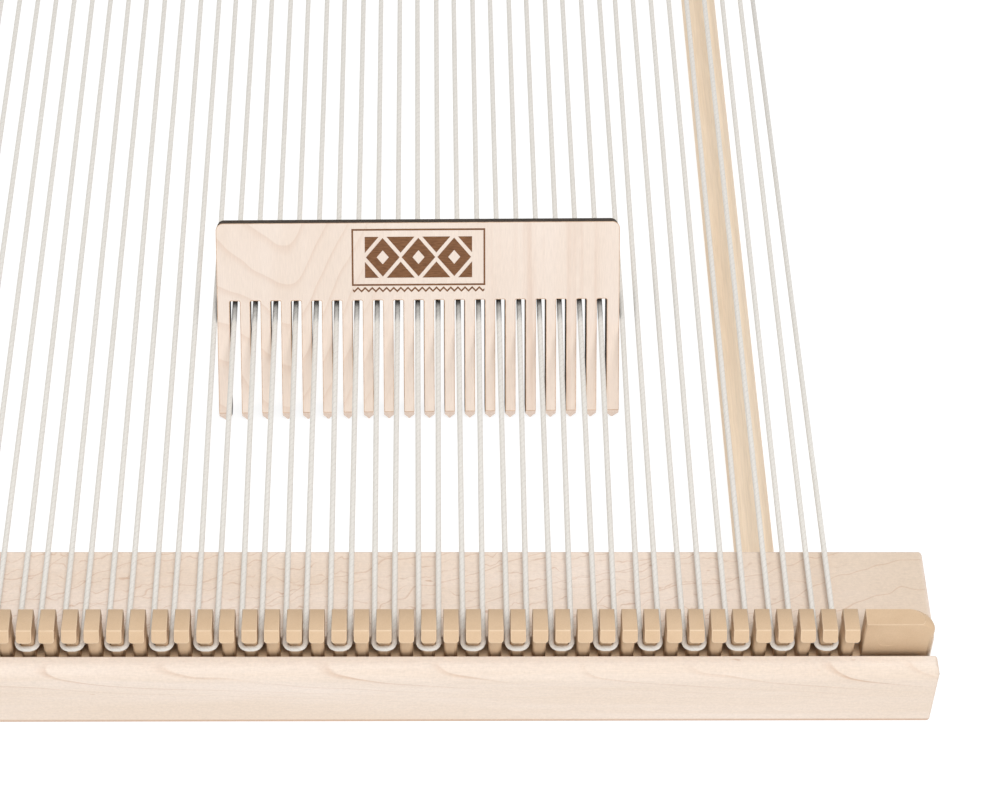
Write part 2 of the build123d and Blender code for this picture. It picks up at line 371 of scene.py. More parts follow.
def pull_profile(bm, points, width, centre_x=0.0):
    """A flat profile in Y and Z, pulled out to a width along X."""
    start = [bm.verts.new((centre_x - width / 2, y, z)) for y, z in points]
    face = bm.faces.new(start)
    pulled = bmesh.ops.extrude_face_region(bm, geom=[face])
    moved = [v for v in pulled["geom"] if isinstance(v, bmesh.types.BMVert)]
    bmesh.ops.translate(bm, verts=moved, vec=(width, 0, 0))
    verts = start + moved
    faces = list({f for v in verts for f in v.link_faces})
    bmesh.ops.recalc_face_normals(bm, faces=faces)
    return verts


def round_edges(bm, edges, radius, segments=3, finish=0):
    """Round some edges and give the new faces one of the piece's finishes."""
    rounded = bmesh.ops.bevel(
        bm,
        geom=list(edges),
        offset=radius,
        offset_type="OFFSET",
        segments=segments,
        profile=0.5,
        affect="EDGES",
        clamp_overlap=True,
        material=-1,
    )
    for face in rounded["faces"]:
        face.material_index = finish


def make_rack_teeth(name, turn):
    back = groove_back
    bm = bmesh.new()
    neck = (
        (back, spine_top - 1 * mm),
        (back, beam_top + 7.8 * mm),
        (back - neck_depth, beam_top + 7.8 * mm),
        (back - neck_depth, spine_top - 1 * mm),
    )
    pull_profile(bm, neck, neck_width)
    outer_uprights = [
        e for e in bm.edges
        if all(v.co.y < back - neck_depth + 1e-6 for v in e.verts)
        and abs(e.verts[0].co.z - e.verts[1].co.z) > 5 * mm
    ]
    round_edges(bm, outer_uprights, 0.9 * mm)
    neck_verts = set(bm.verts)
    head = (
        (back, beam_top + 7.2 * mm),
        (back, beam_top + rack_height),
        (back - hook_reach, beam_top + rack_height),
        (back - lip_reach, beam_top + lip_height),
        (back - 7.5 * mm, beam_top + 7.5 * mm),
        (back - neck_depth, beam_top + 7.2 * mm),
    )
    pull_profile(bm, head, head_width)
    hook_corners = [
        e for e in bm.edges
        if not neck_verts.intersection(e.verts)
        and all(v.co.y < back - 7.4 * mm and v.co.z < beam_top + 8.1 * mm for v in e.verts)
        and abs(e.verts[0].co.x - e.verts[1].co.x) < 1e-6
    ]
    round_edges(bm, hook_corners, 0.7 * mm, 3)
    seen_edges = [
        e for e in bm.edges
        if not neck_verts.intersection(e.verts) and e.is_manifold
        and e.calc_face_angle(0) > math.radians(28)
        and max(v.co.z for v in e.verts) > beam_top + 7.4 * mm
        and min(v.co.y for v in e.verts) < back - 0.1 * mm
    ]
    # the rounded seen edges take the lighter finish, a painted highlight
    round_edges(bm, seen_edges, 0.3 * mm, 2, finish=1)
    bmesh.ops.translate(bm, verts=bm.verts, vec=(-half_row, 0, 0))
    one = list(bm.verts) + list(bm.edges) + list(bm.faces)
    for number in range(1, teeth):
        copy = bmesh.ops.duplicate(bm, geom=one)["geom"]
        verts = [v for v in copy if isinstance(v, bmesh.types.BMVert)]
        bmesh.ops.translate(bm, verts=verts, vec=(number * pitch, 0, 0))
    if turn:
        bmesh.ops.rotate(bm, verts=bm.verts, cent=(0, 0, 0), matrix=Matrix.Rotation(math.pi, 3, "Z"))
    piece = finish_piece(name, bm, "loom", [rack_plastic, painted_highlight_plastic],
                         [name.replace("hooks", "rack_teeth")])
    piece.modifiers.new("shading", "WEIGHTED_NORMAL")


def make_rack_base(name, turn):
    back = groove_back
    bm = bmesh.new()
    spine = (
        (back, groove_floor),
        (back, spine_top),
        (groove_front, spine_top),
        (groove_front, groove_floor),
    )
    pull_profile(bm, spine, 2 * block_outer)
    for side in (-1, 1):
        middle = side * (block_inner + block_outer) / 2
        block = (
            (back, spine_top),
            (back, beam_top + rack_height),
            (back - block_depth, beam_top + rack_height),
            (back - block_depth, spine_top),
        )
        verts = pull_profile(bm, block, block_outer - block_inner, middle)
        edges = list({e for v in verts for e in v.link_edges})
        outer = [e for e in edges if all(abs(v.co.x) > block_outer - 1e-6 for v in e.verts)
                 and abs(e.verts[0].co.z - e.verts[1].co.z) > 5 * mm]
        inside = [e for e in outer if e.verts[0].co.y > back - 1e-6]
        outside = [e for e in outer if e.verts[0].co.y < back - 1e-6]
        round_edges(bm, inside, block_inside_corner, 8)
        round_edges(bm, outside, block_outside_corner, 8)
        # its outer end rolls over at the top: levels are cut in, then drawn inward
        for level in range(roll_levels):
            cut_z = beam_top + rack_height - block_roll * (1 - math.sin(math.radians(15 * level)))
            geom = [g for g in bm.verts[:] + bm.edges[:] + bm.faces[:]
                    if (g.co.x if isinstance(g, bmesh.types.BMVert) else g.verts[0].co.x) * side > 0]
            bmesh.ops.bisect_plane(bm, geom=geom, plane_co=(0, 0, cut_z), plane_no=(0, 0, 1))
        for vert in bm.verts:
            above = vert.co.z - (beam_top + rack_height - block_roll)
            if vert.co.x * side > block_outer - 4 * mm and above > 0:
                drawn = block_roll - math.sqrt(max(block_roll ** 2 - above ** 2, 0.0))
                vert.co.x -= side * min(drawn, block_roll * 0.8)
        top = [e for e in bm.edges if all(v.co.z > beam_top + rack_height - 1e-6 for v in e.verts)
               and e.is_manifold and e.calc_face_angle(0) > 0.7 and e.verts[0].co.x * side > 0]
        # the rounded top edges take the lighter finish, a painted highlight
        round_edges(bm, top, 0.35 * mm, 3, finish=1)
        # the raised ring that an ejector pin leaves on the face of the block
        ring = bmesh.ops.create_circle(bm, cap_ends=False, segments=40, radius=2.38 * mm)["verts"]
        hub = Matrix.Translation((side * mark_x, back - block_depth + 0.02 * mm, beam_top + 4.6 * mm))
        bmesh.ops.transform(bm, verts=ring, matrix=hub @ Matrix.Rotation(math.pi / 2, 4, "X"))
        edges = list({e for v in ring for e in v.link_edges})
        for shrink, forward in ((0.975, -0.05), (0.966, 0.0), (0.973, 0.05)):
            pulled = bmesh.ops.extrude_edge_only(bm, edges=edges)["geom"]
            ring = [v for v in pulled if isinstance(v, bmesh.types.BMVert)]
            edges = [e for e in pulled if isinstance(e, bmesh.types.BMEdge) and set(e.verts) <= set(ring)]
            bmesh.ops.scale(bm, verts=ring, vec=(shrink, 1, shrink), space=hub.inverted())
            bmesh.ops.translate(bm, verts=ring, vec=(0, forward * mm, 0))
    if turn:
        bmesh.ops.rotate(bm, verts=bm.verts, cent=(0, 0, 0), matrix=Matrix.Rotation(math.pi, 3, "Z"))
    piece = finish_piece(name, bm, "loom", [rack_plastic, painted_highlight_plastic],
                         [name.replace("spine", "tooth_rack")])
    piece.modifiers.new("shading", "WEIGHTED_NORMAL")


make_rack_teeth("front_hooks", turn=False)
make_rack_teeth("back_hooks", turn=True)
make_rack_base("front_spine", turn=False)
make_rack_base("back_spine", turn=True)


# ---------------------------------------------------------------- side rails
# Two birch dowels, 3/8 in across, sanded and glued into blind holes in the
# beams. Their grain runs the length of the loom.
dowel_wood, tree, shader = start_finish("sanded_dowel")
place = tree.nodes.new("ShaderNodeTexCoord").outputs["Object"]
drift = clouds(tree, stretched(tree, place, (90, 9, 90)), 1.0, 4, 0.6, 0.4)
drifting = steps(tree, drift, ((0.35, 0), (0.65, 1)))
tint = blend_colours(tree, drifting, (0.900, 0.745, 0.575), (0.860, 0.675, 0.490))
hair = clouds(tree, stretched(tree, place, (2600, 90, 2600)), 1.0, 3, 0.6)
tint = blend_colours(tree, 0.14, tint, steps(tree, hair, ((0.35, 0.3), (0.62, 1))), "MULTIPLY")
tree.links.new(tint, shader.inputs["Base Color"])
tree.links.new(sum_up(tree, "MULTIPLY_ADD", hair, 0.12, 0.52), shader.inputs["Roughness"])
shader.inputs["Specular IOR Level"].default_value = 0.28
relief(tree, shader, ((hair, 0.00003, 0.4),))

for name, node in (("right_dowel", "right_side_rail"), ("left_dowel", "left_side_rail")):
    low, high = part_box(node)
    radius = (high.x - low.x) / 2
    length = 2 * (-beam_back + 6 * mm)
    bm = bmesh.new()
    bmesh.ops.create_cone(bm, cap_ends=True, segments=72, radius1=radius, radius2=radius, depth=length)
    bmesh.ops.rotate(bm, verts=bm.verts, cent=(0, 0, 0), matrix=Matrix.Rotation(math.pi / 2, 3, "X"))
    bmesh.ops.translate(bm, verts=bm.verts, vec=((low.x + high.x) / 2, 0, (low.z + high.z) / 2))
    rims = [e for e in bm.edges if abs(e.verts[0].co.y - e.verts[1].co.y) < 1e-6]
    round_edges(bm, rims, 0.5 * mm, 2)
    dowel = finish_piece(name, bm, "loom", [dowel_wood], [node])
    dowel.modifiers.new("shading", "WEIGHTED_NORMAL")


# ---------------------------------------------------------------- the warp
# One long cotton yarn of two plies laid together, wound under tension from
# tooth to tooth round the necks of the hooks and knotted to the second tooth of
# the back rack at each end. The comb spreads the strands it stands in.
yarn_radius = 0.65 * mm
ply_lay = 3.7 * mm
warp_height = beam_top + 2.65 * mm
strand_offset = 2.28 * mm
loop_corner = 1.6 * mm
tie_corner = 0.9 * mm
loop_y = -groove_back + neck_depth + yarn_radius + 0.03 * mm
comb_x = half_row - 19.5 * pitch + 0.35 * mm
comb_y = -120.65 * mm
comb_pitch = 5.15 * mm
comb_half = 50.8 * mm
strand_lean = 0.29 * mm
comb_bend_y = comb_y + 3.975 * mm
tied_x = half_row - pitch
tie_y = -groove_back - 0.78 * mm
knot_y = tie_y - 0.85 * mm
tie_height = warp_height - 2 * yarn_radius - 0.1 * mm

cotton, tree, shader = start_finish("two_ply_cotton")
lay = tree.nodes.new("ShaderNodeAttribute")
lay.attribute_name = "lay"
parts = tree.nodes.new("ShaderNodeSeparateXYZ")
tree.links.new(lay.outputs["Vector"], parts.inputs[0])
turn = sum_up(tree, "MULTIPLY", parts.outputs[2], 4 * math.pi / ply_lay)
round_ply = sum_up(tree, "MULTIPLY_ADD", parts.outputs[0], sum_up(tree, "COSINE", turn),
                   sum_up(tree, "MULTIPLY", parts.outputs[1], sum_up(tree, "SINE", turn)))
ply = sum_up(tree, "SQRT", sum_up(tree, "MAXIMUM", sum_up(tree, "MULTIPLY_ADD", round_ply, 0.5, 0.5), 0.0))
place = tree.nodes.new("ShaderNodeTexCoord").outputs["Object"]
fuzz = clouds(tree, stretched(tree, place, (5200, 1500, 5200)), 1.0, 3, 0.65, 0.3)
slub = clouds(tree, stretched(tree, place, (300, 90, 300)), 1.0, 3, 0.6)
# painted shade: the grooves between the two plies are coloured darker than their crowns
painted_ply_shade = steps(tree, ply, ((0.0, 0), (0.5, 1)))
tint = blend_colours(tree, painted_ply_shade, (0.720, 0.685, 0.630), (0.820, 0.790, 0.740))
tint = blend_colours(tree, steps(tree, slub, ((0.35, 0), (0.7, 0.35))), tint, (0.740, 0.700, 0.640))
tint = blend_colours(tree, 0.22, tint, steps(tree, fuzz, ((0.3, 0.45), (0.65, 1))), "MULTIPLY")
tree.links.new(tint, shader.inputs["Base Color"])
shader.inputs["Roughness"].default_value = 0.92
shader.inputs["Specular IOR Level"].default_value = 0.12
shader.inputs["Sheen Weight"].default_value = 0.25
shader.inputs["Sheen Roughness"].default_value = 0.5
relief(tree, shader, ((ply, 0.00014, 0.35), (fuzz, 0.00007, 0.6)))

route = [(tied_x, knot_y - 0.1 * mm, 0.0)]
for strand in range(1, teeth):
    if 10 <= strand <= 30:
        spread_x = comb_x - strand_lean - (strand - 20) * comb_pitch
        if strand == 10:
            spread_x = comb_x + comb_half + yarn_radius + 0.15 * mm
        if strand == 30:
            spread_x = comb_x - comb_half - yarn_radius - 0.15 * mm
        route.append((spread_x, comb_bend_y, 150 * mm))
    if strand == teeth - 1:
        break
    loop_side = -1 if strand % 2 == 1 else 1
    looped_x = half_row - strand * pitch
    route.append((looped_x + strand_offset, loop_side * loop_y, loop_corner))
    route.append((looped_x - strand_offset, loop_side * loop_y, loop_corner))
route.append((-tied_x, knot_y - 0.1 * mm, 0.0))


def lay_yarn(bm, layer, points, height, closed=False, sides=12):
    """Pull a ring of yarn along a level route, turning it round each corner."""
    corners = [Vector(p[:2]) for p in points]
    radii = [p[2] for p in points]
    count = len(corners)
    stations = []
    for i in range(count):
        before = corners[i - 1] if (i or closed) else None
        after = corners[(i + 1) % count] if (i < count - 1 or closed) else None
        if before is None or after is None:
            way = (after - corners[i]) if before is None else (corners[i] - before)
            stations.append((corners[i], math.atan2(way.y, way.x), 1.0))
            continue
        heading_in = math.atan2(*(corners[i] - before).yx)
        heading_out = math.atan2(*(after - corners[i]).yx)
        bend = (heading_out - heading_in + math.pi) % (2 * math.pi) - math.pi
        reach = radii[i] * math.tan(abs(bend) / 2)
        side = math.copysign(1, bend)
        begin = corners[i] - Vector((math.cos(heading_in), math.sin(heading_in))) * reach
        hub = begin + Vector((-math.sin(heading_in), math.cos(heading_in))) * side * radii[i]
        pieces_of_turn = max(1, round(abs(bend) / math.radians(15)))
        for step in range(pieces_of_turn + 1):
            heading = heading_in + bend * step / pieces_of_turn
            out = Vector((math.sin(heading), -math.cos(heading))) * side * radii[i]
            girth = 0.88 if radii[i] < 5 * mm and 0 < step < pieces_of_turn else 1.0
            stations.append((hub + out, heading, girth))
    if closed:
        stations.append((stations[0][0], stations[-1][1], 1.0))
    spot, heading, girth = stations[0]
    ring = bmesh.ops.create_circle(bm, cap_ends=False, segments=sides, radius=yarn_radius)["verts"]
    start = (
        Matrix.Translation((spot.x, spot.y, height))
        @ Matrix.Rotation(heading, 4, "Z")
        @ Matrix.Rotation(math.pi / 2, 4, "Y")
    )
    for vert in ring:
        angle = 2 * math.atan2(vert.co.y, vert.co.x)
        vert[layer] = (math.cos(angle), math.sin(angle), 0.0)
    bmesh.ops.transform(bm, verts=ring, matrix=start)
    edges = list({e for v in ring for e in v.link_edges})
    along = 0.0
    for new_spot, new_heading, new_girth in stations[1:]:
        pulled = bmesh.ops.extrude_edge_only(bm, edges=edges)["geom"]
        ring = [v for v in pulled if isinstance(v, bmesh.types.BMVert)]
        ring_set = set(ring)
        edges = [e for e in pulled if isinstance(e, bmesh.types.BMEdge) and ring_set.issuperset(e.verts)]
        move = (
            Matrix.Translation((new_spot.x, new_spot.y, height))
            @ Matrix.Rotation(new_heading - heading, 4, "Z")
            @ Matrix.Scale(new_girth / girth, 4)
            @ Matrix.Translation((-spot.x, -spot.y, -height))
        )
        bmesh.ops.transform(bm, verts=ring, matrix=move)
        along += (new_spot - spot).length
        for vert in ring:
            vert[layer] = (vert[layer].x, vert[layer].y, along)
        spot, heading, girth = new_spot, new_heading, new_girth
    return along


bm = bmesh.new()
layer = bm.verts.layers.float_vector.new("lay")
lay_yarn(bm, layer, route, warp_height)
for side in (-1, 1):
    tie_x = side * tied_x
    around = (
        (tie_x + strand_offset, tie_y, tie_corner),
        (tie_x + strand_offset, loop_y, tie_corner),
        (tie_x - strand_offset, loop_y, tie_corner),
        (tie_x - strand_offset, tie_y, tie_corner),
    )
    lay_yarn(bm, layer, around, tie_height, closed=True)
bmesh.ops.remove_doubles(bm, verts=bm.verts, dist=0.001 * mm)
bmesh.ops.holes_fill(bm, edges=[e for e in bm.edges if e.is_boundary], sides=0)
bmesh.ops.recalc_face_normals(bm, faces=bm.faces)
finish_piece("warp_yarn", bm, "loom", [cotton], ["warp_thread"])

# The two knots that hold its ends: a small overhand knot pulled tight on the
# inner side of the tooth, with a short cut tail.
for side, name in ((1, "right_knot"), (-1, "left_knot")):
    centre = Vector((side * tied_x, knot_y, (warp_height + tie_height) / 2))
    curve = bpy.data.curves.new(name, "CURVE")
    curve.dimensions = "3D"
    curve.bevel_depth = 0.5 * mm
    curve.bevel_resolution = 5
    curve.use_fill_caps = True
    curve.resolution_u = 10
    knot = curve.splines.new("NURBS")
    turns = 14
    knot.points.add(turns - 1)
    for i, point in enumerate(knot.points):
        a = 2 * math.pi * i / turns
        reach = 0.62 * (1 + 0.45 * math.cos(1.5 * 2 * a))
        point.co = (
            centre.x + side * reach * math.cos(2 * a) * mm * 1.25,
            centre.y + reach * math.sin(2 * a) * mm,
            centre.z + 0.45 * math.sin(3 * a) * mm,
            1,
        )
    knot.order_u = 4
    knot.use_cyclic_u = True
    tail = curve.splines.new("NURBS")
    tail.points.add(4)
    for point, (dx, dy, dz) in zip(
        tail.points,
        ((0, 0.2, 0), (0.7, -1.2, -0.3), (1.5, -3.2, -0.75), (1.9, -5.4, -0.95), (1.7, -7.6, -0.98)),
    ):
        point.co = (centre.x - side * dx * mm, centre.y + dy * mm, centre.z + dz * mm, 1)
    tail.order_u = 4
    tail.use_endpoint_u = True
    loose = bpy.data.objects.new(name + "_line", curve)
    bpy.context.scene.collection.objects.link(loose)
    bpy.context.view_layer.update()
    mesh = bpy.data.meshes.new_from_object(loose.evaluated_get(bpy.context.evaluated_depsgraph_get()))
    bpy.data.objects.remove(loose)
    bm = bmesh.new()
    bm.from_mesh(mesh)
    layer = bm.verts.layers.float_vector.new("lay")
    for vert in bm.verts:
        way = (vert.co - centre) / mm
        vert[layer] = (math.sin(way.z * 3.5), math.cos(way.x * 3.5), (way.x + way.y) * mm)
    finish_piece(name, bm, "loom", [cotton])


# ---------------------------------------------------------------- beater comb
# A flat comb cut by laser from 1/4 in maple: the cut edges are charred brown,
# the teeth end in bevelled points, and a framed row of lozenges is burnt
# lightly into its face. It stands in the warp, leaning back on the strands.
comb_height = 50.8 * mm
comb_thick = 6.35 * mm
slots = 19
slot_width = 2.6 * mm
slot_depth = 31.1 * mm
tip_bevel = 2.3 * mm
tip_land = 0.8 * mm
tip_point = 1.5 * mm
tilt = math.radians(53.0)
swing = math.radians(0.8)
root_z = warp_height + yarn_radius + 0.1 * mm
base_z = root_z + comb_thick * math.cos(tilt) - slot_depth * math.sin(tilt)
lean_run = (warp_height - base_z) / math.tan(tilt)
comb_base = Vector((comb_x + lean_run * math.sin(swing), comb_y - lean_run * math.cos(swing), base_z))
comb_stand = Matrix.Translation(comb_base) @ Matrix.Rotation(swing, 4, "Z") @ Matrix.Rotation(tilt, 4, "X")


def comb_face(name, worked):
    """Maple with its grain down the teeth, read from the comb's own flat map."""
    material, tree, shader = start_finish(name)
    flat = tree.nodes.new("ShaderNodeUVMap")
    flat.uv_map = "flat"
    across = tree.nodes.new("ShaderNodeSeparateXYZ")
    tree.links.new(flat.outputs[0], across.inputs[0])
    u, v = across.outputs[0], across.outputs[1]
    place = tree.nodes.new("ShaderNodeTexCoord").outputs["Object"]
    drift = clouds(tree, stretched(tree, flat.outputs[0], (75, 14, 1)), 1.0, 4, 0.55, 0.5)
    pale, warm, line = (0.880, 0.765, 0.680), (0.835, 0.705, 0.605), (0.620, 0.410, 0.290)
    colour = blend_colours(tree, steps(tree, drift, ((0.3, 0), (0.72, 1))), pale, warm)

    # a pointed growth figure on the left, soft streaks on the right
    wobble = clouds(tree, stretched(tree, flat.outputs[0], (60, 40, 1)), 1.0, 2, 0.5)
    from_peak = sum_up(tree, "ADD", u, 0.0313)
    rounded = sum_up(tree, "SQRT", sum_up(tree, "MULTIPLY_ADD", from_peak, from_peak, (2.2 * mm) ** 2))
    arms = sum_up(tree, "MULTIPLY_ADD", rounded, -1.415, v)
    arms = sum_up(tree, "MULTIPLY_ADD", from_peak, -0.685, arms)
    arms = sum_up(tree, "MULTIPLY_ADD", wobble, 1.1, sum_up(tree, "MULTIPLY_ADD", arms, 95.0, -0.17))
    arms = steps(tree, sum_up(tree, "FRACT", arms), ((0.0, 0), (0.30, 0.12), (0.5, 1), (0.53, 0), (1.0, 0)))
    left_side = sum_up(tree, "MULTIPLY", sum_up(tree, "ADD", u, 0.002), -55.0)
    left_side.node.use_clamp = True
    figure = sum_up(tree, "MULTIPLY", sum_up(tree, "MULTIPLY", arms, left_side), 0.26)
    colour = blend_colours(tree, figure, colour, line)
    streak = clouds(tree, stretched(tree, flat.outputs[0], (300, 7, 1)), 1.0, 3, 0.6)
    streak = steps(tree, streak, ((0.50, 0), (0.66, 1)))
    right_side = sum_up(tree, "MULTIPLY", sum_up(tree, "SUBTRACT", u, 0.006), 45.0)
    right_side.node.use_clamp = True
    streaked = sum_up(tree, "MULTIPLY", sum_up(tree, "MULTIPLY", streak, right_side), 0.30)
    colour = blend_colours(tree, streaked, colour, line)
    fibre = clouds(tree, stretched(tree, flat.outputs[0], (3600, 320, 1)), 1.0, 3, 0.6)
    colour = blend_colours(tree, 0.13, colour, steps(tree, fibre, ((0.3, 0.35), (0.7, 1.0))), "MULTIPLY")
    dulled = sum_up(tree, "MULTIPLY_ADD", fibre, 0.12, 0.55)
    heights = [(fibre, 0.00003, 0.3)]

    if worked:
        # the burnt border: a ruled frame, three filled lozenges and a fine zigzag below
        cell = 9.0 * mm
        middle_v = 42.0 * mm
        from_middle = sum_up(tree, "ABSOLUTE", u)
        from_line = sum_up(tree, "ABSOLUTE", sum_up(tree, "SUBTRACT", v, middle_v))
        out_x = sum_up(tree, "SUBTRACT", from_middle, 16.6 * mm)
        out_y = sum_up(tree, "SUBTRACT", from_line, 7.0 * mm)
        off_frame = sum_up(tree, "ABSOLUTE", sum_up(tree, "MAXIMUM", out_x, out_y))
        ruled = sum_up(tree, "LESS_THAN", off_frame, 0.22 * mm)
        along = sum_up(tree, "FRACT", sum_up(tree, "MULTIPLY_ADD", u, 1 / cell, 0.5))
        along = sum_up(tree, "ABSOLUTE", sum_up(tree, "SUBTRACT", along, 0.5))
        along = sum_up(tree, "MULTIPLY", along, 2.0)
        up = sum_up(tree, "MULTIPLY", from_line, 1 / (5.2 * mm))
        lozenge = sum_up(tree, "ADD", along, up)
        filled = sum_up(tree, "MULTIPLY", sum_up(tree, "LESS_THAN", lozenge, 0.94),
                        sum_up(tree, "GREATER_THAN", lozenge, 0.34))
        corner = sum_up(tree, "MULTIPLY", sum_up(tree, "GREATER_THAN", lozenge, 1.22),
                        sum_up(tree, "LESS_THAN", up, 1.0))
        in_chain = sum_up(tree, "LESS_THAN", from_middle, 1.5 * cell)
        chain = sum_up(tree, "MULTIPLY", sum_up(tree, "MAXIMUM", filled, corner), in_chain)
        tooth = sum_up(tree, "PINGPONG", u, 0.9 * mm)
        above_line = sum_up(tree, "SUBTRACT", v, 33.35 * mm)
        from_zigzag = sum_up(tree, "ABSOLUTE", sum_up(tree, "SUBTRACT", above_line, tooth))
        zigzag = sum_up(tree, "MULTIPLY", sum_up(tree, "LESS_THAN", from_zigzag, 0.27 * mm),
                        sum_up(tree, "LESS_THAN", from_middle, 16.6 * mm))
        burnt = sum_up(tree, "MAXIMUM", sum_up(tree, "MAXIMUM", ruled, chain), zigzag)
        passes = clouds(tree, stretched(tree, flat.outputs[0], (420, 5200, 1)), 1.0, 2, 0.5)
        passes = steps(tree, passes, ((0.35, 0), (0.65, 1)))
        brown = blend_colours(tree, passes, (0.150, 0.066, 0.030), (0.255, 0.122, 0.058))
        colour = blend_colours(tree, burnt, colour, brown)
        dulled = sum_up(tree, "MAXIMUM", dulled, sum_up(tree, "MULTIPLY", burnt, 0.85))
        heights.append((sum_up(tree, "SUBTRACT", 1.0, burnt), 0.00018, 0.8))
    tree.links.new(colour, shader.inputs["Base Color"])
    tree.links.new(dulled, shader.inputs["Roughness"])
    shader.inputs["Specular IOR Level"].default_value = 0.25
    relief(tree, shader, heights)
    return material


worked_face = comb_face("comb_maple_worked", worked=True)
plain_face = comb_face("comb_maple_plain", worked=False)

charred, tree, shader = start_finish("laser_char")
flat = tree.nodes.new("ShaderNodeTexCoord").outputs["Object"]
kerf = clouds(tree, stretched(tree, flat, (2600, 700, 700)), 1.0, 3, 0.6)
soot = clouds(tree, flat, 420, 3, 0.6)
kerf_lines = steps(tree, kerf, ((0.3, 0), (0.7, 1)))
tint = blend_colours(tree, kerf_lines, (0.016, 0.012, 0.009), (0.060, 0.040, 0.026))
tint = blend_colours(tree, steps(tree, soot, ((0.45, 0), (0.75, 0.5))), tint, (0.120, 0.074, 0.044))
tree.links.new(tint, shader.inputs["Base Color"])
shader.inputs["Roughness"].default_value = 0.82
shader.inputs["Specular IOR Level"].default_value = 0.2
relief(tree, shader, ((kerf, 0.00006, 0.6),))

scorched, tree, shader = start_finish("scorched_rim")
flat = tree.nodes.new("ShaderNodeTexCoord").outputs["Object"]
patches = clouds(tree, flat, 520, 3, 0.6)
patchy = steps(tree, patches, ((0.3, 0), (0.7, 1)))
tint = blend_colours(tree, patchy, (0.700, 0.500, 0.350), (0.480, 0.300, 0.190))
tree.links.new(tint, shader.inputs["Base Color"])
tree.links.new(sum_up(tree, "MULTIPLY_ADD", patches, 0.1, 0.62), shader.inputs["Roughness"])
shader.inputs["Specular IOR Level"].default_value = 0.22

sanded_tip, tree, shader = start_finish("sanded_end_grain")
flat = tree.nodes.new("ShaderNodeTexCoord").outputs["Object"]
pores = clouds(tree, stretched(tree, flat, (2400, 1800, 1800)), 1.0, 3, 0.6)
open_pores = steps(tree, pores, ((0.3, 0), (0.7, 1)))
tint = blend_colours(tree, open_pores, (0.690, 0.550, 0.465), (0.810, 0.680, 0.590))
tree.links.new(tint, shader.inputs["Base Color"])
shader.inputs["Roughness"].default_value = 0.75
shader.inputs["Specular IOR Level"].default_value = 0.18
relief(tree, shader, ((pores, 0.00004, 0.4),))

bm = bmesh.new()
board = bmesh.ops.create_grid(bm, x_segments=1, y_segments=1, size=0.5)["verts"]
bmesh.ops.scale(bm, verts=board, vec=(2 * comb_half, comb_height - tip_point, 1))
bmesh.ops.translate(bm, verts=board, vec=(0, (comb_height + tip_point) / 2, 0))
slot_places = [(i - (slots - 1) / 2) * comb_pitch for i in range(slots)]
cuts = [((x + s * slot_width / 2, 0, 0), (1, 0, 0)) for x in slot_places for s in (-1, 1)]
cuts.append(((0, slot_depth, 0), (0, 1, 0)))
for co, no in cuts:
    bmesh.ops.bisect_plane(bm, geom=bm.verts[:] + bm.edges[:] + bm.faces[:], plane_co=co, plane_no=no)
waste = []
for face in bm.faces:
    middle = face.calc_center_median()
    if middle.y < slot_depth and any(abs(middle.x - x) < slot_width / 2 for x in slot_places):
        waste.append(face)
bmesh.ops.delete(bm, geom=waste, context="FACES")
ends = [e for e in bm.edges if all(v.co.y < tip_point + 1e-6 for v in e.verts)]
points = bmesh.ops.subdivide_edges(bm, edges=ends, cuts=3)["geom_inner"]
for vert in points:
    if isinstance(vert, bmesh.types.BMVert):
        vert.co.y = tip_point
slot_sides = [x + s * slot_width / 2 for x in slot_places for s in (-1, 1)]
tooth_edges = sorted([-comb_half] + slot_sides + [comb_half])
tooth_spans = [(tooth_edges[i], tooth_edges[i + 1]) for i in range(0, len(tooth_edges), 2)]
for vert in bm.verts:
    if vert.co.y > tip_point + 1e-6:
        continue
    for a, b in tooth_spans:
        if a - 1e-6 <= vert.co.x <= b + 1e-6:
            from_side = 1 - abs(vert.co.x - (a + b) / 2) / ((b - a) / 2)
            vert.co.y = tip_point * (1 - from_side) ** 0.8 * 0.92
bmesh.ops.dissolve_limit(bm, angle_limit=0.01, verts=bm.verts, edges=bm.edges,
                         use_dissolve_boundaries=False)
corners = [v for v in bm.verts if abs(abs(v.co.x) - comb_half) < 1e-6 and v.co.y > comb_height - 1e-6]
bmesh.ops.bevel(bm, geom=corners, offset=1.8 * mm, offset_type="OFFSET", segments=6, profile=0.5,
                affect="VERTICES", clamp_overlap=True, material=-1)
roots = [v for v in bm.verts if abs(v.co.y - slot_depth) < 1e-6]
bmesh.ops.bevel(bm, geom=roots, offset=0.35 * mm, offset_type="OFFSET", segments=2, profile=0.5,
                affect="VERTICES", clamp_overlap=True, material=-1)
for face in bm.faces:
    face.normal_update()
flip = [f for f in bm.faces if f.normal.z < 0]
bmesh.ops.reverse_faces(bm, faces=flip)
pulled = bmesh.ops.extrude_face_region(bm, geom=bm.faces[:])
back_verts = [v for v in pulled["geom"] if isinstance(v, bmesh.types.BMVert)]
bmesh.ops.translate(bm, verts=back_verts, vec=(0, 0, -comb_thick))
bmesh.ops.recalc_face_normals(bm, faces=bm.faces)
slope = (comb_thick - tip_land) / 2
for face_w, sign in ((0.0, 1), (-comb_thick, -1)):
    normal = Vector((0, -slope, sign * tip_bevel)).normalized()
    bmesh.ops.bisect_plane(bm, geom=bm.verts[:] + bm.edges[:] + bm.faces[:],
                           plane_co=(0, tip_bevel, face_w), plane_no=normal, clear_outer=True)
    bmesh.ops.holes_fill(bm, edges=[e for e in bm.edges if e.is_boundary], sides=0)
bmesh.ops.recalc_face_normals(bm, faces=bm.faces)
for face in bm.faces:
    n = face.normal
    if abs(n.z) > 0.98:
        face.material_index = 0 if n.z > 0 else 1
    elif abs(n.z) > 0.3:
        face.material_index = 4
    else:
        face.material_index = 2
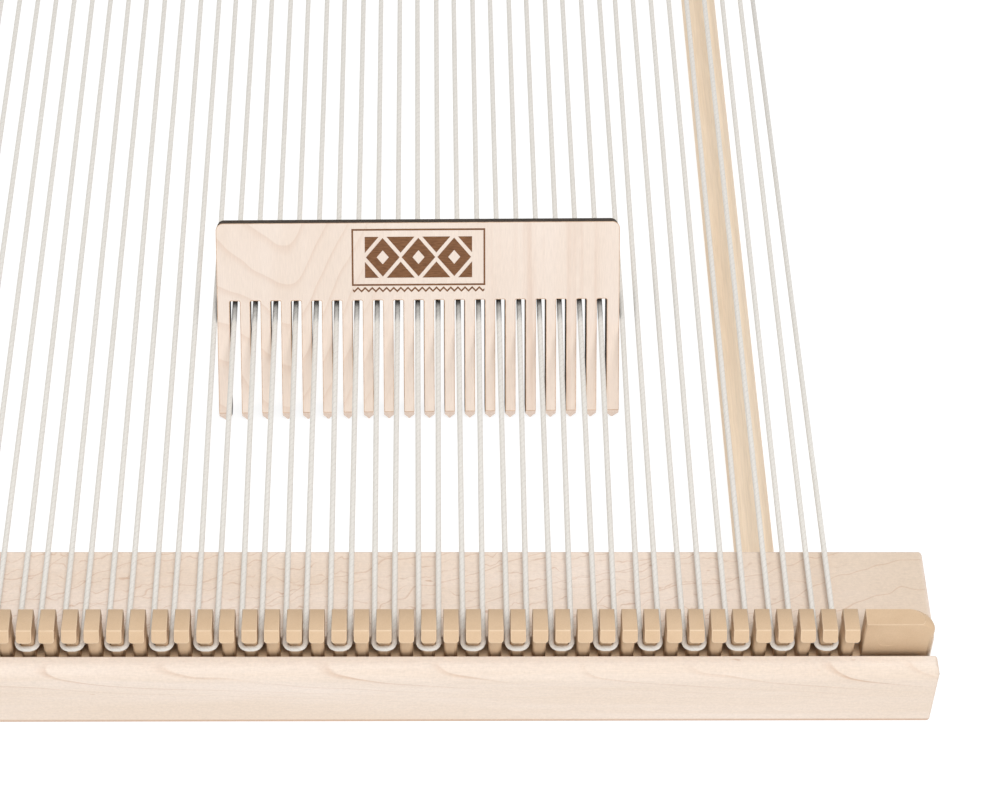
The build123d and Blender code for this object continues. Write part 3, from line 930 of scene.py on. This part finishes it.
broad = [f for f in bm.faces if f.material_index in (0, 1) and abs(f.normal.z) > 0.98]
rim = bmesh.ops.inset_region(bm, faces=broad, thickness=0.16 * mm, depth=0, use_even_offset=True)["faces"]
for face in rim:
    face.material_index = 3
uv = bm.loops.layers.uv.new("flat")
for face in bm.faces:
    for loop in face.loops:
        loop[uv].uv = loop.vert.co.xy
bmesh.ops.transform(bm, verts=bm.verts, matrix=comb_stand)
finish_piece("beater", bm, "beater",
             [worked_face, plain_face, charred, scorched, sanded_tip], ["beater_comb"], smooth=False)


# ---------------------------------------------------------------- table and light
# A plain white light table under the loom, one soft lamp in front on the
# right, and a white room all round.
table_finish, tree, shader = start_finish("white_table")
place = tree.nodes.new("ShaderNodeTexCoord").outputs["Object"]
grain = clouds(tree, place, 35, 3, 0.5)
tint = blend_colours(tree, steps(tree, grain, ((0.3, 0), (0.7, 1))), (0.24, 0.24, 0.24), (0.26, 0.26, 0.26))
tree.links.new(tint, shader.inputs["Base Color"])
shader.inputs["Roughness"].default_value = 0.9
shader.inputs["Specular IOR Level"].default_value = 0.0
shader.inputs["Emission Color"].default_value = (1, 1, 1, 1)
shader.inputs["Emission Strength"].default_value = 0.85
bm = bmesh.new()
bmesh.ops.create_grid(bm, x_segments=1, y_segments=1, size=3.0)
mesh = bpy.data.meshes.new("table_top")
bm.to_mesh(mesh)
bm.free()
mesh.materials.append(table_finish)
table_top = bpy.data.objects.new("table_top", mesh)
bpy.context.scene.collection.objects.link(table_top)

world = bpy.data.worlds.new("white_room")
world.use_nodes = True
world.node_tree.nodes["Background"].inputs[0].default_value = (1.0, 1.0, 1.0, 1)
world.node_tree.nodes["Background"].inputs[1].default_value = 0.60
bpy.context.scene.world = world
bpy.context.scene.view_settings.view_transform = "Standard"


def soft_lamp(name, place, aim, size, power):
    data = bpy.data.lights.new(name, "AREA")
    data.shape = "DISK"
    data.size = size
    data.energy = power
    lamp = bpy.data.objects.new(name, data)
    lamp.location = place
    lamp.rotation_euler = (Vector(aim) - Vector(place)).to_track_quat("-Z", "Y").to_euler()
    bpy.context.scene.collection.objects.link(lamp)


soft_lamp("key", (0.24, -0.88, 1.42), (0.08, -0.15, 0.0), 0.7, 14.0)


# ---------------------------------------------------------------- camera
# Close on the front right of the loom, from in front and above.
camera_data = bpy.data.cameras.new("camera")
camera_data.sensor_width = 36
camera_data.lens = 101.67
camera_data.clip_start = 0.01
camera = bpy.data.objects.new("camera", camera_data)
camera.matrix_world = (
    Matrix.Translation((0.07759, -0.61269, 0.54041))
    @ Matrix.Rotation(math.radians(-2.644), 4, "Z")
    @ Matrix.Rotation(math.radians(90 - 48.055), 4, "X")
    @ Matrix.Rotation(math.radians(2.062), 4, "Z")
)
bpy.context.scene.collection.objects.link(camera)
bpy.context.scene.camera = camera
